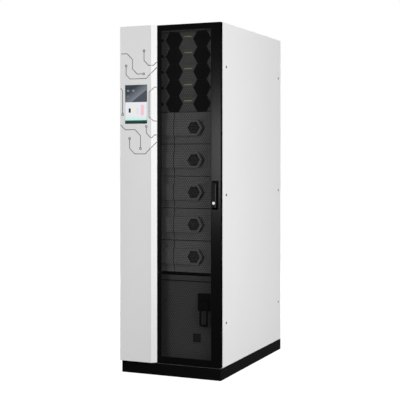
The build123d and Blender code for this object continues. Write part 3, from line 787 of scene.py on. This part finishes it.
low = [c - LAP + BORDER for c in WINDOW_LOW]
high = [c + LAP - BORDER for c in WINDOW_HIGH]
sheet = honeycomb("door_sheet", low, high, HOLE_PITCH, HOLE_WEB)
trim_sheet(sheet, [
    ((low[0], 0), (-1, 0)), ((high[0], 0), (1, 0)), ((0, low[1]), (0, -1)), ((0, high[1]), (0, 1)),
])
border = pane([c - BORDER for c in low], [c + BORDER for c in high], 0)
pick_faces(border, lambda face: True)
bpy.ops.mesh.inset(thickness=BORDER * MM)
bpy.ops.mesh.delete(type="FACE")
bpy.ops.object.mode_set(mode="OBJECT")
hold(sheet)
border.select_set(True)
bpy.ops.object.join()
middle = (low[1] + high[1]) / 2
upper = bpy.data.objects.new("door_sheet_upper", sheet.data.copy())
bpy.context.scene.collection.objects.link(upper)
sheet.name = "door_sheet_lower"
for half, out in ((sheet, 1), (upper, -1)):
    trim_sheet(half, [((0, middle), (0, out))])
    thickened(half, SHEET_DEPTH, SHEET_WALL)
    dress(half, mesh_coat, "door")
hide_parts("door_mesh")

# Display cover: a white powder coated steel fascia over the hinge side, chamfered at its free edge.
# A pattern of thin dark lines is screen printed on it, and its front makes room for the ink.
COVER_FOLD = 0.9
COVER_FRONT = -52
COVER_CORNER = -107
CHAMFER = (27, 23)
INK = 0.06
INK_SPECK = 1.5
LINE_WIDTH = 3.8
RING_RADIUS = 5.5
FRONT_ROUTES = (
    ((-292, 1786), (-256, 1786), (-222, 1752), (-222, 1700), (-192, 1670), (-158, 1670)),
    ((-262, 1712), (-262, 1668), (-238, 1644), (-136, 1644), (-109, 1671)),
    ((-150, 1792), (-150, 1744), (-122, 1716), (-109, 1716)),
    ((-297, 1594), (-284, 1581), (-284, 1452)),
    ((-109, 1576), (-119, 1566), (-119, 1432), (-109, 1422)),
    ((-297, 1390), (-268, 1361), (-206, 1361), (-172, 1327), (-172, 1262)),
    ((-240, 1306), (-240, 1258), (-208, 1226), (-142, 1226), (-109, 1259)),
    ((-136, 1372), (-136, 1342), (-109, 1315)),
)
FRONT_RINGS = (
    (-152, 1670), (-262, 1718), (-150, 1798), (-284, 1446), (-172, 1256), (-240, 1312), (-136, 1378),
)
SIDE_ROUTES = (
    ((2, 1673), (33, 1704)), ((2, 1716), (14, 1716), (33, 1735)), ((2, 1578), (20, 1596), (33, 1596)),
    ((2, 1420), (14, 1408), (33, 1408)), ((2, 1261), (33, 1292)), ((2, 1313), (20, 1331), (33, 1331)),
)
cover = softened("display_cover", COVER_FOLD, white_coat)
cover_face = FRAME_FRONT + COVER_FRONT * MM
for point in cover.data.vertices:
    if point.co.y < cover_face + 0.01 * MM:
        point.co.y = cover_face + INK * MM


def printed(name, routes, rings):
    """Flat printed lines in the X-Z plane at Y = 0: a route of points each, and rings at their ends."""
    bpy.ops.object.select_all(action="DESELECT")
    lines = []
    for route in routes:
        line = bpy.data.curves.new(name, "CURVE")
        line.dimensions = "3D"
        spline = line.splines.new("POLY")
        spline.points.add(len(route) - 1)
        for point, (x, z) in zip(spline.points, route):
            point.co = (x * MM, 0, z * MM, 1)
        lines.append(bpy.data.objects.new(name, line))
        bpy.context.scene.collection.objects.link(lines[-1])
    for x, z in rings:
        bpy.ops.object.select_all(action="DESELECT")
        bpy.ops.curve.primitive_bezier_circle_add(
            radius=RING_RADIUS * MM, location=(x * MM, 0, z * MM), rotation=(math.pi / 2, 0, 0),
        )
        lines.append(bpy.context.object)
    for line in lines:
        line.data.bevel_depth = LINE_WIDTH / 2 * MM
        line.data.bevel_resolution = 2
        line.data.resolution_u = 6
        line.data.use_fill_caps = True
        line.select_set(True)
    bpy.context.view_layer.objects.active = lines[0]
    bpy.ops.object.convert(target="MESH")
    bpy.ops.object.join()
    made = bpy.context.object
    made.name = name
    made.scale.y = INK / (LINE_WIDTH / 2)
    bpy.ops.object.transform_apply(location=True, rotation=True, scale=True)
    return made


# Screen ink: a flat dark grey with the fine speck of the printing mesh.
screen_ink, tree, place = start_finish("dark grey screen ink")
speck = add_node(tree, "ShaderNodeTexNoise", {
    "Vector": place, "Scale": 1 / (INK_SPECK * MM), "Detail": 2.0,
})
tone = add_node(tree, "ShaderNodeMix", {
    0: speck.outputs["Fac"], 6: colour("#222325"), 7: colour("#2A2B2D"),
}, data_type="RGBA")
ink = add_node(tree, "ShaderNodeBsdfPrincipled", {
    "Base Color": tone.outputs[2], "Roughness": 0.55, "Specular IOR Level": 0.2,
})
add_node(tree, "ShaderNodeOutputMaterial", {"Surface": ink.outputs["BSDF"]})
lines = printed("cover_lines", FRONT_ROUTES, FRONT_RINGS)
lines.location.y = cover_face + INK * MM
bpy.ops.object.transform_apply(location=True, rotation=True, scale=True)
dress(lines, screen_ink, "door")
lines = printed("chamfer_lines", SIDE_ROUTES, ())
lines.rotation_euler.z = math.atan2(CHAMFER[1], CHAMFER[0])
lines.location = (COVER_CORNER * MM, cover_face, 0)
bpy.ops.object.transform_apply(location=True, rotation=True, scale=True)
dress(lines, screen_ink, "door")

# Touch display: a glass front bonded flush in the cover's window, dark at its edge.
# The lit panel under it shows a plain page of tiles below a slate header, and a glare across the header is
# drawn into the picture: a painted reflection.
GLASS_ROUND = 0.3
SCREEN_SIDES = (-267.5, -132.5)
SCREEN_LEVELS = (1395, 1609)
BAR_TOP = 1413
MINT_TOP = 1438
PAGE_TOP = 1514
GLARE = ((-230, 1514), (-132.5, 1583))
GLARE_REACH = 55
PICTURE_DEPTH = 0.4
FILM = 0.08
GRID = 10
FINGER_SMEAR = 40
TILES = (
    ((-246, -233), (1456, 1480), "#262228"), ((-222, -211), (1446, 1494), "#EEEAC4"),
    ((-198, -185), (1446, 1484), "#E3DEEE"), ((-171, -151), (1440, 1498), "#EFC4CA"),
    ((-256, -244), (1572, 1584), "#7E8B93"), ((-222, -210), (1572, 1584), "#7E8B93"),
    ((-244, -222), (1577, 1579), "#66737B"), ((-256, -244), (1540, 1552), "#66737B"),
)


def mixed_colour(low, high, share):
    """A colour part of the way from one to another."""
    share = min(max(share, 0), 1)
    return [a + (b - a) * share for a, b in zip(colour(low), colour(high))]


def lit_colour(x, z, centre):
    """The picture's colour at a corner of a face, whose centre says which zone it is in."""
    for sides, levels, code in TILES:
        if sides[0] < centre[0] < sides[1] and levels[0] < centre[1] < levels[1]:
            return colour(code)
    if centre[1] < BAR_TOP:
        return mixed_colour("#14191B", "#0C4F47", (z - SCREEN_LEVELS[0]) / (BAR_TOP - SCREEN_LEVELS[0]))
    if centre[1] < PAGE_TOP:
        return mixed_colour("#BDEBDF", "#E6E8EE", (z - BAR_TOP) / (MINT_TOP - BAR_TOP))
    # The glare: a painted reflection, a pale band above a slanted line that darkens upward.
    run = (GLARE[1][0] - GLARE[0][0], GLARE[1][1] - GLARE[0][1])
    length = math.hypot(*run)
    if (centre[1] - GLARE[0][1]) * run[0] < (centre[0] - GLARE[0][0]) * run[1]:
        return colour("#464B53")
    above = ((z - GLARE[0][1]) * run[0] - (x - GLARE[0][0]) * run[1]) / length
    return mixed_colour("#7B808A", "#2E373E", above / GLARE_REACH)


# Black touch glass: a thin dark frame around the lit page.
glass_edge = moulded_plastic("black touch glass", "#060708", "#08090A", "#0E0F10", 0.12, 0.2, 0.8)
softened("touch_screen", GLASS_ROUND, glass_edge)
picture = pane(*zip(SCREEN_SIDES, SCREEN_LEVELS), cover_face + PICTURE_DEPTH * MM)
picture.name = "display_picture"
upright = {x for sides, levels, code in TILES for x in sides}
level = {z for sides, levels, code in TILES for z in levels} | {BAR_TOP, MINT_TOP, PAGE_TOP}
upright |= set(range(math.ceil(SCREEN_SIDES[0] / GRID) * GRID, math.ceil(SCREEN_SIDES[1]), GRID))
level |= set(range(PAGE_TOP, SCREEN_LEVELS[1], GRID))
cuts = [((x, 0), (1, 0)) for x in sorted(upright)] + [((0, z), (0, 1)) for z in sorted(level)]
bpy.ops.object.mode_set(mode="EDIT")
for point, across in cuts:
    bpy.ops.mesh.select_all(action="SELECT")
    bpy.ops.mesh.bisect(plane_co=(point[0] * MM, 0, point[1] * MM), plane_no=(across[0], 0, across[1]))
pick_faces(picture, lambda face: face.center.z > PAGE_TOP * MM)
tilt = math.atan2(GLARE[1][1] - GLARE[0][1], GLARE[1][0] - GLARE[0][0])
slope = (-math.sin(tilt), 0, math.cos(tilt))
bpy.ops.mesh.bisect(plane_co=(GLARE[0][0] * MM, 0, GLARE[0][1] * MM), plane_no=slope)
bpy.ops.object.mode_set(mode="OBJECT")
lit = picture.data.color_attributes.new("lit", "FLOAT_COLOR", "CORNER")
for part in picture.data.polygons:
    centre = (part.center.x / MM, part.center.z / MM)
    for corner in part.loop_indices:
        spot = picture.data.vertices[picture.data.loops[corner].vertex_index].co
        lit.data[corner].color = lit_colour(spot.x / MM, spot.z / MM, centre)
hold(picture)
film = picture.modifiers.new("film", "SOLIDIFY")
film.thickness = FILM * MM
film.offset = -1
bpy.ops.object.modifier_apply(modifier=film.name)
# Lit touch glass: the page glows through, and finger smears vary the gloss.
lit_glass, tree, place = start_finish("lit touch glass")
shown = add_node(tree, "ShaderNodeAttribute", attribute_name="lit")
smear = add_node(tree, "ShaderNodeTexNoise", {
    "Vector": place, "Scale": 1 / (FINGER_SMEAR * MM), "Detail": 5.0,
})
gloss = add_node(tree, "ShaderNodeMapRange", {
    "Value": smear.outputs["Fac"], "To Min": 0.05, "To Max": 0.16,
})
glass = add_node(tree, "ShaderNodeBsdfPrincipled", {
    "Base Color": colour("#050607"), "Roughness": gloss.outputs["Result"], "Specular IOR Level": 0.2,
    "Emission Color": shown.outputs["Color"], "Emission Strength": 1.0,
})
add_node(tree, "ShaderNodeOutputMaterial", {"Surface": glass.outputs["BSDF"]})
dress(picture, lit_glass, "door")

# Swing handle: a moulded nylon dish screwed in the door's stile, with a die-cast zinc lever
# that lifts out of it and a turned and chrome plated lock cylinder through the lever's foot.
DISH_ROUND = 0.8
LEVER_ROUND = 0.6
LEVER_EDGES = (257.5, 278.5)
LEVER_FRONT = -50
LEVER_SPAN = (930, 1062)
LEVER_CHAMFER = 2.6
LEVER_SEAM = 0.02
LOCK_ROUND = 0.8
LOCK_HAZE = 2
KEY_SLOT = (1.8, 3, 8.5)
KEY_PLACE = (268, COVER_FRONT, 960)
# Glass filled nylon: a dull dark grey, lighter than the door, with a sandy grain.
satin_black = moulded_plastic(
    "satin black glass filled nylon", "#2C2C2C", "#303030", "#3C3C3C", 0.5, 0.012, 0.7,
)
# Painted casting: black, and the chamfer that a hand takes hold of is painted grey: a painted highlight for
# the light along the lever's edge.
lever_black = moulded_plastic(
    "satin black painted zinc casting", "#101011", "#131314", "#202020", 0.5, 0.03, 0.7,
)
# The faces that look right and forward are lighter: a painted highlight.
lightened(lever_black, (math.sqrt(0.5), -math.sqrt(0.5), 0), 0.8, 0.97, "#404143")
softened("handle_dish", DISH_ROUND, satin_black)
lever = softened("handle_lever", LEVER_ROUND, lever_black)
side = LEVER_CHAMFER * math.sqrt(2)
bar = block((side, side, LEVER_SPAN[1] - LEVER_SPAN[0]))
bar.rotation_euler.z = math.pi / 4
bpy.ops.object.transform_apply(location=False, rotation=True, scale=False)
places = [(x, FRAME_FRONT / MM + LEVER_FRONT, sum(LEVER_SPAN) / 2) for x in LEVER_EDGES]
cutter = copies(bar, places, "chamfer_cutter")
cut_away(lever, cutter)
bpy.data.objects.remove(cutter)
bpy.ops.mesh.customdata_custom_splitnormals_clear()
bpy.ops.object.mode_set(mode="EDIT")
bpy.ops.mesh.select_all(action="SELECT")
bpy.ops.mesh.remove_doubles(threshold=LEVER_SEAM * MM)
bpy.ops.mesh.fill_holes(sides=8)
bpy.ops.object.mode_set(mode="OBJECT")
settle(lever)
# Polished chrome: a bright mirror, hazed a little by handling.
polished_chrome, tree, place = start_finish("polished chrome")
haze = add_node(tree, "ShaderNodeTexNoise", {
    "Vector": place, "Scale": 1 / (LOCK_HAZE * MM), "Detail": 3.0,
})
gloss = add_node(tree, "ShaderNodeMapRange", {
    "Value": haze.outputs["Fac"], "To Min": 0.04, "To Max": 0.09,
})
chrome = add_node(tree, "ShaderNodeBsdfPrincipled", {
    "Base Color": colour("#DCDEE0"), "Roughness": gloss.outputs["Result"], "Metallic": 1.0,
})
add_node(tree, "ShaderNodeOutputMaterial", {"Surface": chrome.outputs["BSDF"]})
lock = softened("lock_cylinder", LOCK_ROUND, polished_chrome)
slot_cutter = block(KEY_SLOT)
set_in(slot_cutter, KEY_PLACE)
cut_away(lock, slot_cutter)
bpy.data.objects.remove(slot_cutter)
bpy.ops.mesh.customdata_custom_splitnormals_clear()
settle(lock)

# Studio: a pale floor that keeps a soft shadow, and a white backdrop on every side.
# A broad key lamp on the right lights the side panel and a softbox on the left the front. A narrow
# lamp draws the long gleam on the satin pieces, and two more keep the back and the roof light.
FLOOR_SIZE = 60
WHITE = "#FFFFFF"


def seen_directly(tree):
    """1 for rays of the camera, of reflections and through glass, and 0 for light that falls on things."""
    path = add_node(tree, "ShaderNodeLightPath")
    seen = path.outputs["Is Camera Ray"]
    for kind in ("Is Glossy Ray", "Is Transmission Ray"):
        seen = add_node(tree, "ShaderNodeMath", {
            0: seen, 1: path.outputs[kind],
        }, operation="MAXIMUM").outputs["Value"]
    return seen


bpy.ops.object.select_all(action="DESELECT")
bpy.ops.mesh.primitive_plane_add(size=FLOOR_SIZE)
floor = bpy.context.object
floor.name = "studio_floor"
# Studio floor: white paper that fades into the backdrop away from the cabinet.
pale_floor, tree, place = start_finish("pale studio floor")
reach = add_node(tree, "ShaderNodeVectorMath", {0: place}, operation="LENGTH")
fade = add_node(tree, "ShaderNodeMapRange", {
    "Value": reach.outputs["Value"], "From Min": 1.0, "From Max": 4.0, "To Min": 0.85, "To Max": 1.0,
}, interpolation_type="SMOOTHSTEP")
bounce = add_node(tree, "ShaderNodeBsdfDiffuse", {"Color": colour("#606060")})
shadow = add_node(tree, "ShaderNodeBsdfDiffuse", {"Color": colour("#9A9A9A")})
white = add_node(tree, "ShaderNodeEmission", {"Color": colour(WHITE), "Strength": fade.outputs["Result"]})
shown = add_node(tree, "ShaderNodeAddShader", {0: shadow.outputs["BSDF"], 1: white.outputs["Emission"]})
mixed = add_node(tree, "ShaderNodeMixShader", {
    0: seen_directly(tree), 1: bounce.outputs["BSDF"], 2: shown.outputs["Shader"],
})
add_node(tree, "ShaderNodeOutputMaterial", {"Surface": mixed.outputs["Shader"]})
floor.data.materials.append(pale_floor)

world = bpy.data.worlds.new("studio")
bpy.context.scene.world = world
world.use_nodes = True
tree = world.node_tree
tree.nodes.clear()
dome = add_node(tree, "ShaderNodeBackground", {"Color": colour(WHITE), "Strength": 0.46})
white = add_node(tree, "ShaderNodeBackground", {"Color": colour(WHITE), "Strength": 1.0})
mixed = add_node(tree, "ShaderNodeMixShader", {
    0: seen_directly(tree), 1: dome.outputs["Background"], 2: white.outputs["Background"],
})
add_node(tree, "ShaderNodeOutputWorld", {"Surface": mixed.outputs["Shader"]})


def lamp(name, place, target, size, power):
    """A soft rectangular lamp that looks at a target, in metres and watts."""
    light = bpy.data.lights.new(name, "AREA")
    light.shape = "RECTANGLE"
    light.size, light.size_y = size
    light.energy = power
    made = bpy.data.objects.new(name, light)
    bpy.context.scene.collection.objects.link(made)
    made.location = place
    aim = [p - t for p, t in zip(place, target)]
    flat = math.hypot(aim[0], aim[1])
    made.rotation_euler = (math.atan2(flat, aim[2]), 0, math.atan2(aim[0], -aim[1]))
    return made


lamp("key", (3.35, -1.95, 1.5), (0.1, -0.4, 1.0), (2.7, 2.7), 104)
lamp("fill", (-3.0, 3.4, 2.0), (0, 0.1, 1.0), (2.0, 2.0), 95)
lamp("overhead", (0.0, 0.9, 4.4), (0.0, 0.5, 1.9), (1.4, 1.2), 30)
softbox = lamp("softbox", (-1.17, -4.37, 2.12), (0.1, -0.4855, 1.4), (1.2, 0.9), 50)
softbox.visible_glossy = False
gleam = lamp("gleam", (-1.1, -4.18, 1.26), (0.27, -0.4855, 1.25), (0.34, 0.88), 108)
gleam.visible_diffuse = False
satin_pieces = bpy.data.collections.new("satin pieces")
for name in ("door_frame_finished", "handle_dish_finished", "handle_lever_finished"):
    satin_pieces.objects.link(bpy.data.objects[name])
gleam.light_linking.receiver_collection = satin_pieces

# Camera: level and about 1.2 m up, looking at the cabinet from its front right.
# The lens and its shift were fitted to the edges of the cabinet in the photo.
lens = bpy.data.cameras.new("camera")
lens.sensor_width = 36
lens.lens = 89.58
lens.shift_y = -0.1084
camera = bpy.data.objects.new("camera", lens)
bpy.context.scene.collection.objects.link(camera)
camera.location = (2.33732, -5.44773, 1.2107)
camera.rotation_euler = (math.pi / 2, 0, math.radians(23.51))
bpy.context.scene.camera = camera
bpy.context.scene.view_settings.view_transform = "Standard"
